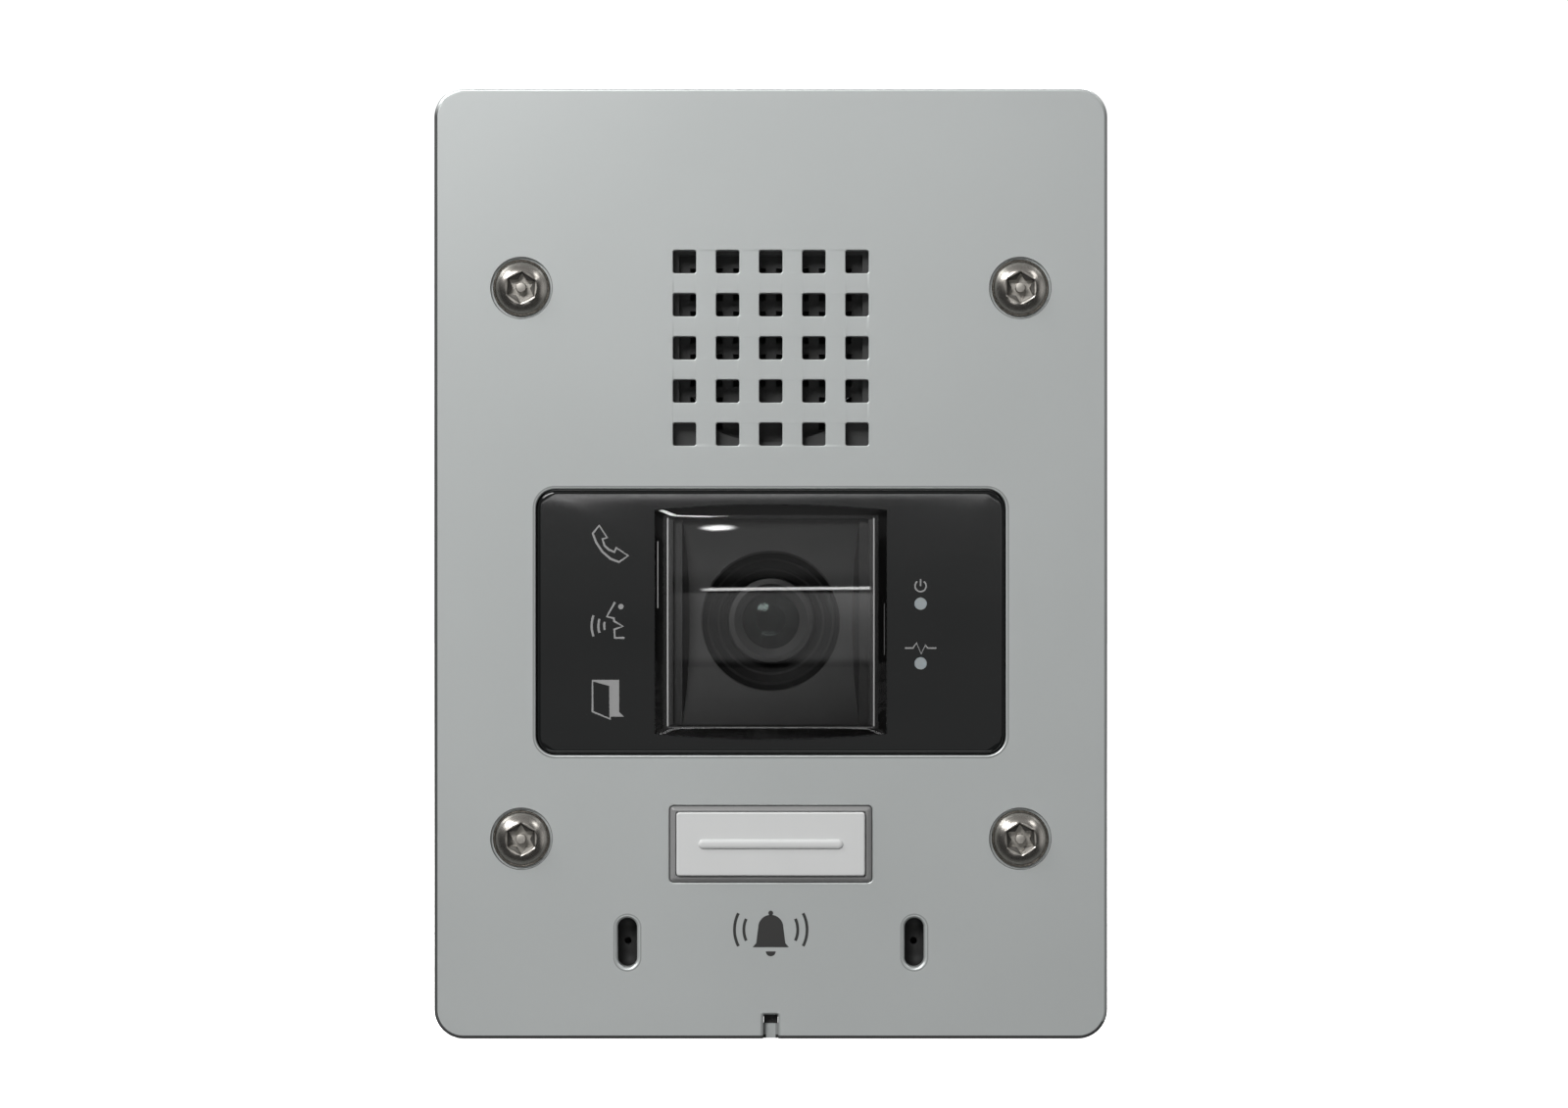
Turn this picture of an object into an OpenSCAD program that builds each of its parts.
// Door intercom panel: a flush video door station.
// A metal front panel carries a speaker grille, a camera behind a bulged clear window, a call button and
// two microphones. A moulded housing behind it holds the circuit board and its connectors.
// The front faces -Y and +Z is up. y = 0 is the wall, and the origin is the centre of the four fixing screws.

/* [Panel] */
// Width of the front panel
panel_w = 115; // [113:0.5:130]
// Height of the front panel
panel_h = 162.5; // [160:0.5:180]
// Thickness of the front panel
panel_t = 3; // [3:0.5:4]
// Radius of the panel's corners
panel_r = 5; // [2:0.5:8]
// Thickness of the foam gasket between the panel and the wall
gasket_t = 1.5; // [1.2:0.1:1.6]

/* [Fixing screws] */
// Distance between the screws, across
screw_dx = 85.2; // [84.5:0.1:86.5]
// Distance between the screws, up
screw_dz = 94.1; // [93.5:0.1:95]
// Thread diameter of the screws
screw_d = 5; // [4:1:5]
// Diameter of a screw's domed head
screw_head_d = 9.6; // [9:0.1:9.8]
// Length of a screw under its head
screw_len = 16; // [12:1:25]

/* [Speaker] */
// Holes in one row of the grille
grille_n = 5; // [5]
// Distance between neighbouring grille holes
grille_pitch = 7.37; // [7.2:0.01:7.5]
// Side of one square grille hole
grille_hole = 3.95; // [3:0.05:4.2]
// Height of the grille's centre
grille_z = 36.8; // [36:0.1:37.5]
// Diameter of the loudspeaker
speaker_d = 45; // [44:0.5:45]
// Height of the loudspeaker's centre
speaker_z = 43; // [42.5:0.1:43.5]

/* [Window] */
// Width of the window's opening in the panel
window_w = 80.3; // [80:0.1:81]
// Height of the window's opening in the panel
window_h = 45.5; // [45:0.1:46]
// Radius of the opening's corners
window_r = 3.3; // [3:0.1:4]
// Height of the window's centre
window_z = -10.05; // [-10.5:0.05:-9.8]

/* [Camera] */
// Width of the camera window where it meets the cover
bulge_w = 39.5; // [39:0.1:40]
// Width of the camera window's curved front
bulge_front_w = 35.4; // [35:0.1:36]
// Height of the camera window's curved front
bulge_front_h = 36.2; // [36:0.1:36.4]
// How far the camera window stands out at its middle
bulge_out = 1.9; // [1.5:0.1:2.2]
// How far the camera window stands out at its sides
bulge_side = 0.95; // [0.8:0.05:1.2]
// Clear width inside the camera window's black rim
view_w = 33.4; // [33:0.1:34]
// Clear height inside the camera window's black rim
view_h = 35.2; // [35:0.1:35.4]
// Diameter of the lens barrel's front
lens_d = 14.4; // [14:0.1:15]
// Diameter of the front lens
glass_d = 9.9; // [9:0.1:10.5]

/* [Call button] */
// Width of the button's face
button_w = 32.2; // [31:0.1:33]
// Height of the button's face
button_h = 10.9; // [10:0.1:11.5]
// Height of the button's centre
button_z = -47.95; // [-48.5:0.05:-47.5]
// How far the button travels
button_travel = 1; // [0.6:0.1:1]
// Width of the raised bar on the button
bar_w = 24.9; // [10:0.1:26]
// Height of the raised bar on the button
bar_h = 1.7; // [1:0.1:3]

/* [Microphones] */
// Distance of each microphone from the middle
mic_x = 24.5; // [24:0.1:26]
// Height of the microphones' centres
mic_z = -64.8; // [-65.5:0.1:-64.5]
// Width of a microphone slot
slot_w = 3.3; // [3:0.1:3.6]
// Height of a microphone slot
slot_h = 8.4; // [8:0.1:9]

/* [Housing] */
// Width of the rear housing
housing_w = 92; // [91.5:0.5:93]
// Height of the rear housing
housing_h = 146; // [145:0.5:147]
// Depth of the housing's rear face behind the wall plane
housing_back = 33.5; // [33.5:0.1:34]
// Thickness of the housing's walls
housing_wall = 2.2; // [2:0.1:2.4]

/* [Hidden] */
$fn = 64;
FINE = 96;                                  // facets round the larger curves
EPS = 0.05;                                 // overlap that keeps a cut clear of a face

// Layers from front to back
front_y = -gasket_t - panel_t;              // panel's front face
inner_y = -gasket_t;                        // panel's rear face
thread_y = front_y + 1.2;                   // bottom of the blind threads in the panel
cover_y = front_y + 0.2;                    // front of the black window cover
cover_back = cover_y + 2;                   // rear of the cover's front wall
flange_y = inner_y + 0.6;                   // front of the cover's flange, behind its gasket
flange_back = flange_y + 1.6;
board_y = 17.5;                             // front of the main board
board_t = 1.6;
board_back = board_y + board_t;
floor_y = housing_back - housing_wall;      // inside of the housing's rear wall
rim_y = inner_y + 1;                        // housing's front rim, behind its seal

// Fixing screws
head_h = 2.75;
head_seat_y = front_y + 0.6;                // bottom of the round recess for the head
head_top_y = head_seat_y - head_h;
screw_tip_y = head_seat_y + screw_len;
waist_r = screw_d / 2 - 0.4;                // shank between the head and the thread
thread_start_y = 0.3;
notch_r = 6.5;                              // room that the housing leaves beside each fixing screw

// Housing columns and board posts, as [x, z]
COLUMNS = [[-30.3, 67.2], [30.3, 67.2], [-40, 24], [40, 24], [-10, -67.2], [10, -67.2]];
POSTS = [[-18, 60], [18, 60], [-18, -60], [18, -60]];
column_r = 3.8;
boss_top_y = 2.5;                           // top of the panel bosses that the columns stand on
column_seat_y = 6;                          // where the housing screws' heads sit

// Camera
camera_z = window_z + 0.2;
bulge_base_y = cover_y;
bulge_r = (pow(bulge_front_w / 2, 2) + pow(bulge_out - bulge_side, 2)) / (2 * (bulge_out - bulge_side));
dish_y = -2.9;                              // front edge of the concave dish round the lens
dish_deep = 4.5;
dish_w = 30.3;                              // width of the dish at its front edge
dish_w_deep = 28;                           // width of the dish at its deepest
dish_r = (pow(view_h / 2, 2) + pow(dish_deep, 2)) / (2 * dish_deep);
shroud_back = 6;
lens_y = 2;                                 // front of the lens barrel
camera_board_y = 13.2;
camera_board_t = 1.2;
camera_board_w = 32;
camera_post = 13.2;                         // distance of the camera board's screws from its middle

// Indicators, as [x, z]
ICONS = [[-27.5, 3.3], [-27.5, -9.9], [-27.5, -23.5]];
LEDS = [[25.6, -6.9], [25.6, -17.1]];
pipe_r = 1.05;                              // radius of the round light pipes
led_y = board_y - 1;

// Speaker
baffle_w = 52;
baffle_back = 2.5;
baffle_face = 0.5;                          // recessed face that holds the offset holes
baffle_cut_w = 31.4;                        // width of the recess behind the grille
baffle_hole = 5.6;
speaker_y = baffle_back + 0.8;              // front of the speaker, behind its gasket
speaker_back = 16.3;
clamp_r = speaker_d / 2 + 2;                // the speaker's clamp screws stand on this radius

// Call button
surround_w = 34.5;
surround_h = 13;
guide_w = button_w + 0.6;
guide_h = button_h + 0.6;
button_front = front_y - 0.8;
stop_y = -0.9;                              // the button's flange rests here
button_board_y = 6.6;
button_board_t = 1.2;
plunger_ratio = 0.35;                       // plunger travel for each unit of button travel
plunger_y = 2.58;                           // front of the switch plunger at rest
pusher_y = plunger_y - 0.03 - button_travel * (1 - plunger_ratio);
button_screw_x = 21.2;

// Microphones
boot_r = 5.2;                               // radius of the rubber boot round a microphone
capsule_r = 4.5;

// Connectors on the rear of the main board
jack_x = -22;
port_z = -30;
jack_w = 16;
jack_h = 13.4;
jack_back = 33;
ways = 8;                                   // ways in the pluggable terminal block
way = 3.81;
block_x = 15;
block_w = ways * way + 2;
plug_w = ways * way;
plug_y = board_back + 2.4;
plug_seat = board_back + 9.4;               // the plug's body rests on the header here
plug_back = plug_seat + 8.5;

// ---- Shapes that repeat ----

// Rounded rectangle, seen from the front
module rrect(w, h, r) {
    square([w - 2 * r, h], center = true);
    square([w, h - 2 * r], center = true);
    for (sx = [-1, 1], sz = [-1, 1])
        translate([sx * (w / 2 - r), sz * (h / 2 - r)]) circle(r = r);
}

// Thickens an outline drawn from the front between two depths
module slab(y0, y1) {
    translate([0, y1, 0]) rotate([90, 0, 0]) linear_extrude(y1 - y0) children();
}

// Round bar along Y
module peg(r, y0, y1) {
    translate([0, y1, 0]) rotate([90, 0, 0]) cylinder(r = r, h = y1 - y0);
}

// Cone along Y, with radius r0 at depth y0 and r1 at depth y1
module taper(r0, r1, y0, y1) {
    translate([0, y1, 0]) rotate([90, 0, 0]) cylinder(r1 = r1, r2 = r0, h = y1 - y0);
}

// Turns a [radius, depth] profile about the Y direction
module turned() {
    rotate([-90, 0, 0]) rotate_extrude($fn = FINE) children();
}

module at(x, z) {
    translate([x, 0, z]) children();
}

module at_each(points) {
    for (p = points) at(p[0], p[1]) children();
}

// One copy in each corner of a rectangle
module corners(dx, dz) {
    for (sx = [-1, 1], sz = [-1, 1]) at(sx * dx / 2, sz * dz / 2) children();
}

// Pan-head screw driven from behind: its head's seat is at seat_y and its tip at tip_y
module rear_screw(r, head_r, head_t, tip_y, seat_y) {
    difference() {
        union() {
            peg(r, tip_y, seat_y);
            peg(head_r, seat_y, seat_y + head_t);
        }
        for (a = [0, 90])
            rotate([0, a, 0]) slab(seat_y + head_t - 0.8, seat_y + head_t + EPS) square([head_r * 1.2, 0.6], center = true);
    }
}

// Round wire through a list of points
module wire(points, r) {
    for (i = [0 : len(points) - 2]) hull() {
        translate(points[i]) sphere(r = r, $fn = 8);
        translate(points[i + 1]) sphere(r = r, $fn = 8);
    }
}

// The housing's outline, drawn in by d: wide across the window, and narrower above and below it, where the
// wall box's ears for the fixing screws stand. The four inner corners are filleted.
module outline(d) {
    side = screw_dx / 2 - notch_r - d;
    shoulder = screw_dz / 2 - notch_r - d;
    fillet = 3 + min(d, 3);
    rrect(housing_w - 2 * d, 2 * shoulder, 4 - min(d, 3.5));
    rrect(2 * side, housing_h - 2 * d, 4 - min(d, 3.5));
    for (sx = [-1, 1], sz = [-1, 1]) scale([sx, sz]) difference() {
        translate([side - 1, shoulder - 1]) square(fillet + 1);
        translate([side + fillet, shoulder + fillet]) circle(r = fillet);
    }
}

// ---- Front ----

module front_panel() {
    color("#b4b8b9") difference() {
        union() {
            slab(front_y, inner_y) rrect(panel_w, panel_h, panel_r);
            // bosses that the rear housing is screwed to
            at_each(COLUMNS) peg(3.6, inner_y - EPS, boss_top_y);
            // rings that hold the microphone boots, cut flat where the housing's lower wall passes
            for (s = [-1, 1]) intersection() {
                at(s * mic_x, mic_z) peg(boot_r + 1.2, inner_y - EPS, 3);
                translate([s * mic_x - 10, inner_y - 1, 0.1 - housing_h / 2 + housing_wall]) cube([20, 6, 20]);
            }
        }
        // speaker grille
        for (i = [0 : grille_n - 1], j = [0 : grille_n - 1])
            at((i - (grille_n - 1) / 2) * grille_pitch, grille_z + (j - (grille_n - 1) / 2) * grille_pitch)
                slab(front_y - 1, inner_y + 1) square(grille_hole, center = true);
        // window and call button
        at(0, window_z) slab(front_y - 1, inner_y + 1) rrect(window_w, window_h, window_r);
        at(0, button_z) slab(front_y - 1, inner_y + 1) rrect(34.7, 13.2, 0.8);
        // microphone slots, and the pockets for their boots
        for (s = [-1, 1]) at(s * mic_x, mic_z) {
            slab(front_y - 1, inner_y + 1) rrect(slot_w, slot_h, slot_w / 2 - 0.01);
            peg(boot_r, inner_y, 3 + EPS);
        }
        // drain notch in the lower edge: a shallow channel that ends in a slot right through
        at(0, -panel_h / 2) {
            slab(front_y - 1, front_y + 2) translate([0, 1.6]) square([2.5, 5], center = true);
            slab(front_y - 1, inner_y + 1) translate([0, 3.3]) square([2.5, 1.6], center = true);
        }
        // fixing screws: round recess, clearance hole and room for the retainer
        corners(screw_dx, screw_dz) {
            peg(5.25, front_y - 1, head_seat_y);
            peg(screw_d / 2 + 0.25, front_y, 0);
            peg(4.8, inner_y - 1, inner_y + EPS);
        }
        // blind threads behind
        at_each(COLUMNS) peg(1.5, thread_y, boss_top_y + EPS);
        at(0, speaker_z) corners(47, 47) peg(1.25, thread_y, inner_y + EPS);
        at(0, window_z) corners(66, 53.2) peg(1.25, thread_y, inner_y + EPS);
        for (s = [-1, 1]) at(s * button_screw_x, button_z) peg(1.25, thread_y, inner_y + EPS);
    }
}

module panel_gasket() {
    color("#202020") slab(inner_y, 0) difference() {
        rrect(panel_w - 2.5, panel_h - 2.5, panel_r - 1);
        outline(-0.8);
        for (sx = [-1, 1], sz = [-1, 1])
            translate([sx * screw_dx / 2, sz * screw_dz / 2]) circle(r = 4);
        translate([0, -panel_h / 2]) square([4, 8], center = true);
    }
}

// Six lobes round a core: the driving recess of a security screw
module six_lobe() {
    circle(r = 1.72);
    for (i = [0 : 5]) rotate(30 + 60 * i) translate([1.76, 0]) circle(r = 0.45);
}

module fixing_screws() {
    dome_h = head_h - 0.35;
    dome_r = (pow(screw_head_d / 2, 2) + dome_h * dome_h) / (2 * dome_h);
    color("#6e6963") corners(screw_dx, screw_dz) {
        difference() {
            union() {
                intersection() {
                    translate([0, head_top_y + dome_r, 0]) sphere(r = dome_r, $fn = FINE);
                    peg(screw_head_d / 2, head_top_y - 1, head_seat_y - 0.35);
                }
                peg(screw_head_d / 2, head_seat_y - 0.35, head_seat_y);
                // waisted shank, so that the retainer keeps the screw in the panel, and the thread
                peg(waist_r, head_seat_y - EPS, thread_start_y + EPS);
                peg(screw_d / 2, thread_start_y, screw_tip_y - 0.8);
                taper(screw_d / 2, screw_d / 2 - 0.7, screw_tip_y - 0.8, screw_tip_y);
            }
            slab(head_top_y - 1, head_top_y + 0.45) circle(r = 2.6, $fn = 6);
            slab(head_top_y - 1, head_top_y + 1.9) six_lobe();
        }
        peg(0.9, head_top_y + 0.25, head_top_y + 1.9);
    }
}

module screw_retainers() {
    color("white") corners(screw_dx, screw_dz) difference() {
        peg(4.6, inner_y - 1, inner_y - 0.2);
        peg(waist_r + 0.1, inner_y - 2, inner_y + 1);
    }
}

// ---- Window ----

cover_w = window_w - 0.5;
cover_h = window_h - 0.5;

// How far the camera window stands out at x
function bulge_at(x) = bulge_out - (bulge_r - sqrt(bulge_r * bulge_r - x * x));

// Outline of the camera window where it meets the cover: its top and bottom are arched,
// because their 45 degree slopes start from a curved front
function bulge_half(g) = [
    for (i = [-8 : 8]) let (x = bulge_front_w / 2 * i / 8) [x * (1 + g / bulge_front_w), bulge_front_h / 2 + bulge_at(x) + g]
];
module bulge_base(g = 0) {
    top = bulge_half(g);
    side = bulge_w / 2 + g;
    edge = bulge_front_h / 2 + bulge_side + g;
    polygon(concat([[-side, edge]], top, [[side, edge], [side, -edge]],
        [for (i = [len(top) - 1 : -1 : 0]) [top[i][0], -top[i][1]]], [[-side, -edge]]));
}

module window_cover() {
    color("#181a1b") at(0, window_z) difference() {
        union() {
            slab(cover_y, flange_back) rrect(cover_w, cover_h, window_r - 0.25);
            slab(flange_y, flange_back) rrect(window_w + 4, window_h + 4, window_r + 2);
            // ears for the cover's screws
            corners(66, 53.2) peg(3.2, flange_y, flange_back);
            slab(flange_y, flange_back) for (s = [-1, 1]) translate([s * 33, 0]) square([6.4, 53.2], center = true);
        }
        slab(cover_back, flange_back + EPS) rrect(cover_w - 4, cover_h - 4, 1.5);
        slab(cover_y - 1, cover_back + EPS) bulge_base(0.05);
        at(0, -window_z) at_each(LEDS) peg(pipe_r, cover_y - 1, cover_back + EPS);
        corners(66, 53.2) peg(1.4, flange_y - 1, flange_back + EPS);
    }
}

module window_gasket() {
    color("#303030") at(0, window_z) slab(inner_y, flange_y) difference() {
        rrect(window_w + 3.6, window_h + 3.6, window_r + 1.8);
        rrect(window_w + 0.4, window_h + 0.4, window_r + 0.2);
    }
}

module cover_screws() {
    color("#8a8d90") at(0, window_z) corners(66, 53.2)
        rear_screw(1.25, 2.5, 1.6, thread_y + 0.2, flange_back);
}

// Curved front of the camera window: a slice of a cylinder that stands upright
module bulge_slice(r, w, h, back) {
    intersection() {
        translate([0, bulge_base_y - bulge_out + bulge_r, 0]) cylinder(r = r, h = h, center = true, $fn = 360);
        translate([-w / 2, bulge_base_y - 4, -h / 2]) cube([w, 4 + back - bulge_base_y, h]);
    }
}

module camera_window() {
    flange = 40.6;
    color("#8fa3ad55") at(0, window_z) difference() {
        union() {
            hull() {
                slab(bulge_base_y - 0.02, bulge_base_y) bulge_base();
                intersection() {
                    slab(bulge_base_y - 3, bulge_base_y - bulge_side) square([bulge_front_w, bulge_front_h], center = true);
                    translate([0, bulge_base_y - bulge_out + bulge_r, 0])
                        cylinder(r = bulge_r, h = bulge_front_h, center = true, $fn = 360);
                }
            }
            slab(bulge_base_y, cover_back) bulge_base();
            slab(cover_back, cover_back + 1) rrect(flange, flange, 1);
        }
        bulge_slice(bulge_r - 1.2, 34, view_h + 0.2, cover_back + 2);
        slab(-4, cover_back + 2) square([36.8, 36.6], center = true);
    }
}

module camera_shroud() {
    post_l = camera_board_y;
    color("#26282a") at(0, window_z) difference() {
        union() {
            slab(-3.9, shroud_back) square([36.4, 36.2], center = true);
            slab(cover_back + 1, cover_back + 2.4) rrect(40.6, 40.6, 1);
            at(0, camera_z - window_z) corners(2 * camera_post, 2 * camera_post) peg(2.2, shroud_back - EPS, post_l);
        }
        slab(-5, dish_y) square([view_w, view_h], center = true);
        // concave dish: its side walls lean in as it gets deeper
        intersection() {
            translate([0, dish_y + dish_deep - dish_r, 0]) rotate([0, 90, 0])
                cylinder(r = dish_r, h = 40, center = true, $fn = 180);
            translate([0, 0, -view_h / 2]) linear_extrude(view_h) polygon([
                [-dish_w / 2, dish_y - EPS], [dish_w / 2, dish_y - EPS],
                [dish_w_deep / 2, dish_y + dish_deep], [-dish_w_deep / 2, dish_y + dish_deep]
            ]);
        }
        // stepped funnel down to the lens
        at(0, camera_z - window_z) turned() polygon([
            [0, -2], [12, -2], [12, 1.7], [10.7, 2.6], [10.7, 3], [9, 3.6], [9, 4], [7.6, 4.4],
            [7.6, shroud_back + 1], [0, shroud_back + 1]
        ]);
        at(0, camera_z - window_z) corners(2 * camera_post, 2 * camera_post) peg(0.9, 7, post_l + EPS);
    }
}

// ---- Camera ----

module lens_barrel() {
    color("#1b1c1e") at(0, camera_z) turned() polygon([
        [glass_d / 2, lens_y + 1], [lens_d / 2 - 0.9, lens_y], [lens_d / 2, lens_y + 0.2], [lens_d / 2, 6.4],
        [6, 6.4], [6, 11.6], [3.4, 11.6], [3.4, 7.9], [2.6, 7.9], [2.6, 5.6], [glass_d / 2, 5.6]
    ]);
}

module front_lens() {
    cap_h = 1.6;
    cap_r = (pow(glass_d / 2, 2) + cap_h * cap_h) / (2 * cap_h);
    color("#5d7487aa") at(0, camera_z) {
        intersection() {
            translate([0, 2.2 + cap_r, 0]) sphere(r = cap_r, $fn = FINE);
            peg(glass_d / 2, 1, 3.8);
        }
        peg(glass_d / 2, 3.8, 5.6);
    }
}

module rear_lens() {
    color("#4f6475aa") at(0, camera_z) intersection() {
        translate([0, 7.9 + 8, 0]) sphere(r = 8, $fn = FINE);
        peg(3.4, 7, 10.4);
    }
}

module lens_holder() {
    color("#202224") at(0, camera_z) difference() {
        union() {
            peg(7.4, 6.6, 11);
            slab(10.4, camera_board_y) rrect(17, 17, 1.5);
        }
        peg(6, 6, 11.8);
        slab(11.8, camera_board_y + EPS) square(12.4, center = true);
    }
}

module image_sensor() {
    color("#2c3a34") at(0, camera_z) slab(camera_board_y - 1, camera_board_y) square(11, center = true);
}

module camera_board() {
    color("#1c5a36") at(0, camera_z) slab(camera_board_y, camera_board_y + camera_board_t) difference() {
        rrect(camera_board_w, camera_board_w, 1.5);
        for (sx = [-1, 1], sz = [-1, 1]) translate([sx * camera_post, sz * camera_post]) circle(r = 1.1);
    }
}

module camera_screws() {
    color("#8a8d90") at(0, camera_z) corners(2 * camera_post, 2 * camera_post)
        rear_screw(0.9, 1.8, 1.3, 8, camera_board_y + camera_board_t);
}

flex_w = 8;
flex_x = 0;
flex_top = camera_z - 8;                    // middle of the socket on the camera board
flex_low = window_z - 27;                   // middle of the socket on the main board

module camera_flex() {
    y0 = camera_board_y + camera_board_t + 0.5;
    y1 = board_y - 0.5;
    color("#a5622a") translate([flex_x - flex_w / 2, 0, 0]) rotate([90, 0, 90]) linear_extrude(flex_w) polygon([
        [y0, flex_top - 2], [y0, flex_top - 11], [y1 - 0.2, flex_low + 6], [y1 - 0.2, flex_low + 2],
        [y1, flex_low + 2], [y1, flex_low + 6.1], [y0 + 0.2, flex_top - 10.9], [y0 + 0.2, flex_top - 2]
    ]);
}

// ---- Indicators ----

module icon_light_guides() {
    color("#dfe6e8aa") at_each(ICONS) {
        slab(cover_back, 0.6) rrect(8.8, 8.8, 1.5);
        taper(4, 1.6, 0.6, led_y - 1.2);
    }
}

module status_light_pipes() {
    color("#dfe6e8aa") at_each(LEDS) {
        peg(pipe_r, cover_y, led_y - 0.6);
        peg(1.9, 4, 5.2);
    }
}

module icon_guide_holder() {
    color("#2a2a2a") difference() {
        at(-28.1, window_z) slab(1, 12) rrect(13, 41, 1.5);
        at_each(ICONS) taper(4.15, 1.7, 0.6, led_y - 1.2);
    }
}

module status_guide_holder() {
    color("#2a2a2a") difference() {
        at(27.6, window_z) slab(1, 12) rrect(12, 30, 1.5);
        at_each(LEDS) peg(pipe_r + 0.05, 0, 13);
        at_each(LEDS) peg(2, 0, 5.2);
    }
}

module indicator_leds() {
    color("#f2efc8") at_each(concat(ICONS, LEDS)) slab(led_y, board_y) square([3, 2.8], center = true);
}

// ---- Speaker ----

module speaker_baffle() {
    top = grille_z + 15.7;
    low = speaker_z - speaker_d / 2;
    inner_n = grille_n - 1;
    color("#2b2c2d") difference() {
        at(0, speaker_z) slab(inner_y, baffle_back) rrect(baffle_w, baffle_w, 4);
        // recess behind the grille, with a round lower edge
        slab(inner_y - EPS, baffle_face) intersection() {
            translate([0, (top + low) / 2]) square([baffle_cut_w, top - low + 0.6], center = true);
            union() {
                translate([0, speaker_z]) circle(r = speaker_d / 2 - 0.2, $fn = FINE);
                translate([0, speaker_z]) translate([-baffle_cut_w / 2, 0]) square([baffle_cut_w, 20]);
            }
        }
        // offset holes: they sit between the holes of the grille, so nothing reaches the speaker straight in
        for (i = [0 : inner_n - 1], j = [0 : inner_n - 1])
            if (j > 0 || i == 0 || i == inner_n - 1)
                at((i - (inner_n - 1) / 2) * grille_pitch, grille_z + (j - (inner_n - 1) / 2) * grille_pitch)
                    slab(baffle_face - 1, baffle_back + 1) square(baffle_hole, center = true);
        at(0, speaker_z) corners(47, 47) peg(1.4, inner_y - 1, baffle_back + EPS);
        at(0, speaker_z) for (a = [45 : 90 : 315]) rotate([0, a, 0]) at(clamp_r, 0) peg(1.1, inner_y + 0.5, baffle_back + EPS);
    }
}

module baffle_screws() {
    color("#8a8d90") at(0, speaker_z) corners(47, 47) rear_screw(1.25, 2.4, 1.5, thread_y + 0.2, baffle_back);
}

module speaker_membrane() {
    color("#3a3a3a") at(0, speaker_z) peg(19.6, baffle_back, baffle_back + 0.2);
}

module speaker_gasket() {
    color("#1a1a1a") at(0, speaker_z) difference() {
        peg(speaker_d / 2, baffle_back, speaker_y);
        peg(19.8, baffle_back - 1, speaker_y + 1);
    }
}

module speaker_frame() {
    out = speaker_d / 2;
    color("#7f8486") at(0, speaker_z) difference() {
        turned() polygon([
            [out, speaker_y], [out, speaker_y + 1], [19.5, speaker_y + 1], [12.5, 11.2], [12.5, 12], [8, 12],
            [8, 11.2], [11.6, 11.2], [18.7, speaker_y + 0.9], [18.7, speaker_y]
        ]);
        for (a = [0 : 90 : 270]) rotate([0, a, 0]) at(15, 0)
            slab(5.4, 10.2) square([5, 12], center = true);
    }
}

module speaker_cone() {
    color("#2a2b2d") at(0, speaker_z) turned() polygon([
        [18.6, speaker_y + 0.3], [18.6, speaker_y + 0.6], [16.6, speaker_y + 0.6], [6, 9.4], [5.4, 9.4],
        [5.4, 9], [5.9, 9], [16.4, speaker_y + 0.3]
    ]);
}

module speaker_dust_cap() {
    color("#2a2b2d") at(0, speaker_z) intersection() {
        difference() {
            translate([0, 15.5, 0]) sphere(r = 8.6, $fn = FINE);
            translate([0, 15.5, 0]) sphere(r = 8.3, $fn = FINE);
        }
        peg(5.3, 5, 8.98);
    }
}

module voice_coil() {
    color("#b4642d") at(0, speaker_z) difference() {
        peg(5.3, 9, 13.6);
        peg(5, 8, 14);
    }
}

module speaker_magnet() {
    color("#4b4d50") at(0, speaker_z) peg(4.6, 11.4, speaker_back - 1.4);
}

module speaker_yoke() {
    color("#9a9ea1") at(0, speaker_z) difference() {
        peg(7.9, 11.4, speaker_back);
        peg(5.8, 11, speaker_back - 1.4);
    }
}

module speaker_screws() {
    color("#8a8d90") at(0, speaker_z) for (a = [45 : 90 : 315]) rotate([0, a, 0]) at(clamp_r, 0) rotate([0, -a, 0])
        rear_screw(1.1, 3, 1.4, 0, speaker_y + 1);
}

// ---- Microphones ----

module mic_boots() {
    color("#161616") for (s = [-1, 1]) at(s * mic_x, mic_z) difference() {
        peg(boot_r, inner_y, 8);
        // smooth trough behind the slot
        translate([0, inner_y, 0]) cylinder(r = 2.1, h = 4.8, center = true);
        for (e = [-1, 1]) translate([0, inner_y, e * 2.4]) sphere(r = 2.1);
        peg(0.6, inner_y, 4);
        peg(capsule_r, 3.2, 9);
    }
}

module mic_capsules() {
    color("#a8abad") for (s = [-1, 1]) at(s * mic_x, mic_z) peg(capsule_r, 3.2, 7.4);
}

// ---- Call button ----

module button_surround() {
    color("#4a4c4e") at(0, button_z) difference() {
        union() {
            slab(front_y + 0.1, inner_y + EPS) rrect(surround_w, surround_h, 0.7);
            slab(inner_y, 4) rrect(40, 18.4, 2);
            for (s = [-1, 1]) at(s * button_screw_x, 0) peg(2.8, inner_y, button_board_y);
        }
        slab(front_y - 1, stop_y + EPS) rrect(guide_w, guide_h, 0.5);
        slab(stop_y, 5) rrect(36.7, 15.4, 1);
        for (s = [-1, 1]) at(s * button_screw_x, 0) peg(1.4, inner_y - 1, button_board_y + EPS);
    }
}

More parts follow.
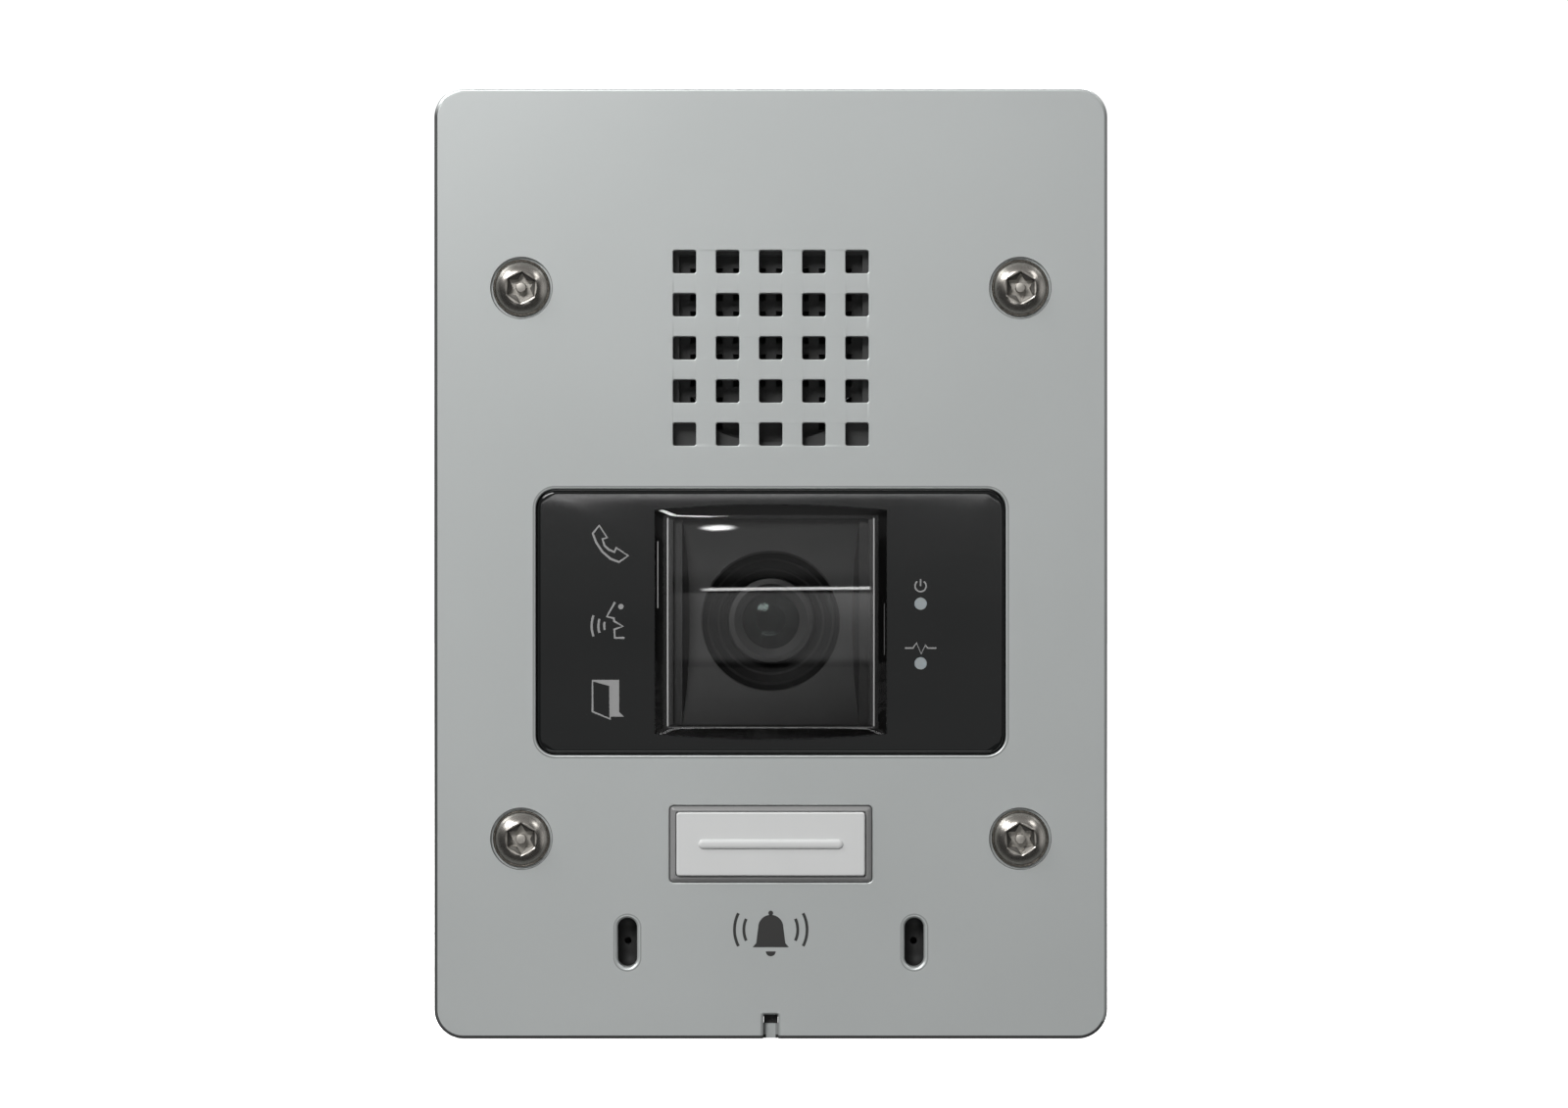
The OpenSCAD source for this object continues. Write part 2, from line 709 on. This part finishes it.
module call_button() {
    color("#c6c8c7") at(0, button_z) difference() {
        union() {
            slab(button_front, stop_y + 1) rrect(button_w, button_h, 0.4);
            slab(button_front - 0.4, button_front + EPS) rrect(bar_w, bar_h, bar_h / 2 - 0.01);
            slab(stop_y + 0.02, stop_y + 1.2) rrect(35.5, 14.2, 0.8);
            peg(2, button_front + 1, pusher_y);
            for (s = [-1, 1]) at(s * 11, 0) peg(2.4, button_front + 1, 1.8);
        }
        difference() {
            slab(button_front + 1.5, stop_y + 2) square([button_w - 3, button_h - 3], center = true);
            peg(2, button_front, pusher_y);
            for (s = [-1, 1]) at(s * 11, 0) peg(2.4, button_front, 1.8);
        }
    }
}

module button_pad() {
    color("#d9d2c4") at(0, button_z) difference() {
        union() {
            slab(button_board_y - 1, button_board_y) rrect(34, 15, 1.5);
            for (s = [-1, 1]) at(s * 11, 0) taper(2.4, 4, 1.9, button_board_y - 1);
        }
        slab(4, 8) square(6.6, center = true);
        for (s = [-1, 1]) at(s * 11, 0) taper(1.4, 3.2, 3, button_board_y + EPS);
    }
}

module switch_body() {
    color("#1d1d1d") at(0, button_z) difference() {
        slab(3.1, button_board_y) square(6.2, center = true);
        peg(1.75, 2, 4.75);
    }
}

module switch_plunger() {
    color("#e2e2e2") at(0, button_z) peg(1.7, plunger_y, 4.35);
}

module button_board() {
    color("#1c5a36") at(0, button_z) slab(button_board_y, button_board_y + button_board_t) difference() {
        rrect(49, 15, 2);
        for (s = [-1, 1]) translate([s * button_screw_x, 0]) circle(r = 1.4);
    }
}

module button_screws() {
    color("#8a8d90") for (s = [-1, 1]) at(s * button_screw_x, button_z)
        rear_screw(1.25, 2.5, 1.5, thread_y + 0.2, button_board_y + button_board_t);
}

// ---- Boards ----

module main_board() {
    color("#1f6b3f") slab(board_y, board_back) difference() {
        outline(3);
        for (p = COLUMNS) translate(p) circle(r = column_r + 0.6);
        for (p = POSTS) translate(p) circle(r = 1.4);
    }
}

module board_screws() {
    // driven from the front, so each is turned round to face forward
    color("#8a8d90") at_each(POSTS) translate([0, 2 * board_y, 0]) rotate([0, 0, 180])
        rear_screw(1.25, 2.4, 1.5, board_y - 6.5, board_y);
}

module board_chips() {
    color("#1a1a1c") {
        at(0, 12) slab(board_back, board_back + 1.5) square(17, center = true);
        at(20, 14) slab(board_back, board_back + 1.1) square([10, 13], center = true);
        at(-18, -4) slab(board_back, board_back + 1.2) square([8, 8], center = true);
        at(-22, -52) slab(board_back, board_back + 6) square([16, 9], center = true);
        at(8, -8) slab(board_back, board_back + 1.6) square([6, 9], center = true);
    }
}

module capacitors() {
    color("#2c3f7a") at_each([[22, 44], [22, 33], [8, -52]]) peg(4, board_back, board_back + 9);
}

module power_transformer() {
    color("#caa53a") at(-16, 38) difference() {
        slab(board_back, board_back + 10.5) square([17, 15], center = true);
        for (s = [-1, 1]) at(0, s * 7.5) slab(board_back + 2, board_back + 8.5) square([11, 3], center = true);
    }
}

SPEAKER_SOCKET = [24, 12];
BUTTON_SOCKET = [0, -57];
MIC_SOCKETS = [[-16, -50], [16, -50]];
lead_y = board_y - 4.5;                     // where each lead ends, in front of its socket

module board_connectors() {
    color("#e8e4d6") {
        at(flex_x, flex_top) slab(camera_board_y + camera_board_t, camera_board_y + camera_board_t + 1.2) square([11, 4], center = true);
        at(flex_x, flex_low) slab(board_y - 1.2, board_y) square([11, 4], center = true);
        at_each(concat([SPEAKER_SOCKET, BUTTON_SOCKET], MIC_SOCKETS)) slab(board_y - 4, board_y) square([6, 4.2], center = true);
    }
}

module speaker_lead() {
    color("#b02a20") for (s = [-1, 1])
        wire([
            [7.8 + s, 12.5, 35.2], [11 + s, 13.6, 30], [18 + s, 13.2, 22],
            [SPEAKER_SOCKET[0] + s, 11.5, 14], [SPEAKER_SOCKET[0] + s, lead_y, 12]
        ], 0.5);
}

module mic_leads() {
    color("#3a3a3a") for (s = [-1, 1], t = [-1, 1])
        wire([
            [s * mic_x + t, 7.9, mic_z], [s * mic_x + t, 11, mic_z + 1],
            [s * 16 + t, 11.5, -53], [s * 16 + t, lead_y, -50]
        ], 0.5);
}

module button_lead() {
    color("#3a3a3a") for (t = [-1, 1])
        wire([[4 + t, 8.3, -53], [2 + t, 10.5, -55], [BUTTON_SOCKET[0] + t, lead_y, BUTTON_SOCKET[1]]], 0.5);
}

// ---- Connectors ----

module ethernet_jack() {
    color("#b9bdc0") at(jack_x, port_z) difference() {
        slab(board_back, jack_back) square([jack_w, jack_h], center = true);
        slab(board_back + 2, jack_back + 1) translate([0, 0.6]) square([11.9, 7], center = true);
        slab(board_back + 4, jack_back + 1) translate([0, -3.8]) square([6, 2.4], center = true);
    }
}

module jack_contacts() {
    color("#d9b24a") at(jack_x, port_z) for (i = [0 : 7])
        at((i - 3.5) * 1.02, 3.6) slab(board_back + 2, jack_back - 3) square([0.4, 0.9], center = true);
}

module terminal_header() {
    color("#2f7d4a") at(block_x, port_z) difference() {
        slab(board_back, plug_seat - 0.1) square([block_w, 9], center = true);
        slab(plug_y - 0.1, plug_seat + 1) square([plug_w + 0.4, 7], center = true);
        for (i = [0 : ways - 1]) at((i - (ways - 1) / 2) * way, 0) peg(0.5, board_back - 1, plug_y + 1);
    }
}

module terminal_pins() {
    color("#c9c2a2") at(block_x, port_z) for (i = [0 : ways - 1])
        at((i - (ways - 1) / 2) * way, 0) peg(0.5, board_back, plug_seat - 1);
}

module terminal_plug() {
    color("#2f7d4a") at(block_x, port_z) difference() {
        union() {
            slab(plug_y, plug_seat + EPS) square([plug_w, 6.6], center = true);
            slab(plug_seat, plug_back) translate([0, 1]) square([plug_w, 11], center = true);
        }
        for (i = [0 : ways - 1]) at((i - (ways - 1) / 2) * way, 0) {
            peg(0.6, plug_y - 1, plug_seat);
            at(0, 0.6) peg(1.35, plug_seat + 1.5, plug_back + 1);
            translate([0, plug_seat + 4.6, 4.5]) cylinder(r = 1.5, h = 3);
        }
    }
}

module terminal_screws() {
    color("#c8cacb") at(block_x, port_z) for (i = [0 : ways - 1])
        translate([(i - (ways - 1) / 2) * way, plug_seat + 4.6, 4.5]) difference() {
            cylinder(r = 1.5, h = 1.4);
            translate([-2, -0.25, 0.7]) cube([4, 0.5, 1]);
        }
}

// ---- Housing ----

module rear_housing() {
    color("#3b3e40") difference() {
        union() {
            difference() {
                slab(rim_y, housing_back) outline(0);
                slab(rim_y - 1, floor_y) outline(housing_wall);
            }
            at_each(COLUMNS) peg(column_r, boss_top_y, housing_back - 1);
            at_each(POSTS) peg(3, board_back, housing_back - 1);
        }
        at_each(COLUMNS) {
            peg(1.7, 0, housing_back);
            peg(3.2, column_seat_y, housing_back + 1);
        }
        at_each(POSTS) peg(1.25, board_back - 1, board_back + 6);
        at(jack_x, port_z) slab(floor_y - 1, housing_back + 1) square([jack_w + 0.6, jack_h + 0.6], center = true);
        at(block_x, port_z + 1) slab(floor_y - 1, housing_back + 1) square([plug_w + 1.6, 12.4], center = true);
    }
}

module housing_seal() {
    color("#151515") slab(inner_y, rim_y) difference() {
        outline(0.1);
        outline(housing_wall - 0.2);
    }
}

module housing_screws() {
    color("#8a8d90") at_each(COLUMNS) rear_screw(1.5, 2.8, 2.2, thread_y + 0.4, column_seat_y);
}

front_panel();
panel_gasket();
fixing_screws();
screw_retainers();
window_cover();
window_gasket();
cover_screws();
camera_window();
camera_shroud();
lens_barrel();
front_lens();
rear_lens();
lens_holder();
image_sensor();
camera_board();
camera_screws();
camera_flex();
icon_light_guides();
status_light_pipes();
icon_guide_holder();
status_guide_holder();
indicator_leds();
speaker_baffle();
baffle_screws();
speaker_membrane();
speaker_gasket();
speaker_frame();
speaker_cone();
speaker_dust_cap();
voice_coil();
speaker_magnet();
speaker_yoke();
speaker_screws();
mic_boots();
mic_capsules();
button_surround();
call_button();
button_pad();
switch_body();
switch_plunger();
button_board();
button_screws();
main_board();
board_screws();
board_chips();
capacitors();
power_transformer();
board_connectors();
speaker_lead();
mic_leads();
button_lead();
ethernet_jack();
jack_contacts();
terminal_header();
terminal_pins();
terminal_plug();
terminal_screws();
rear_housing();
housing_seal();
housing_screws();
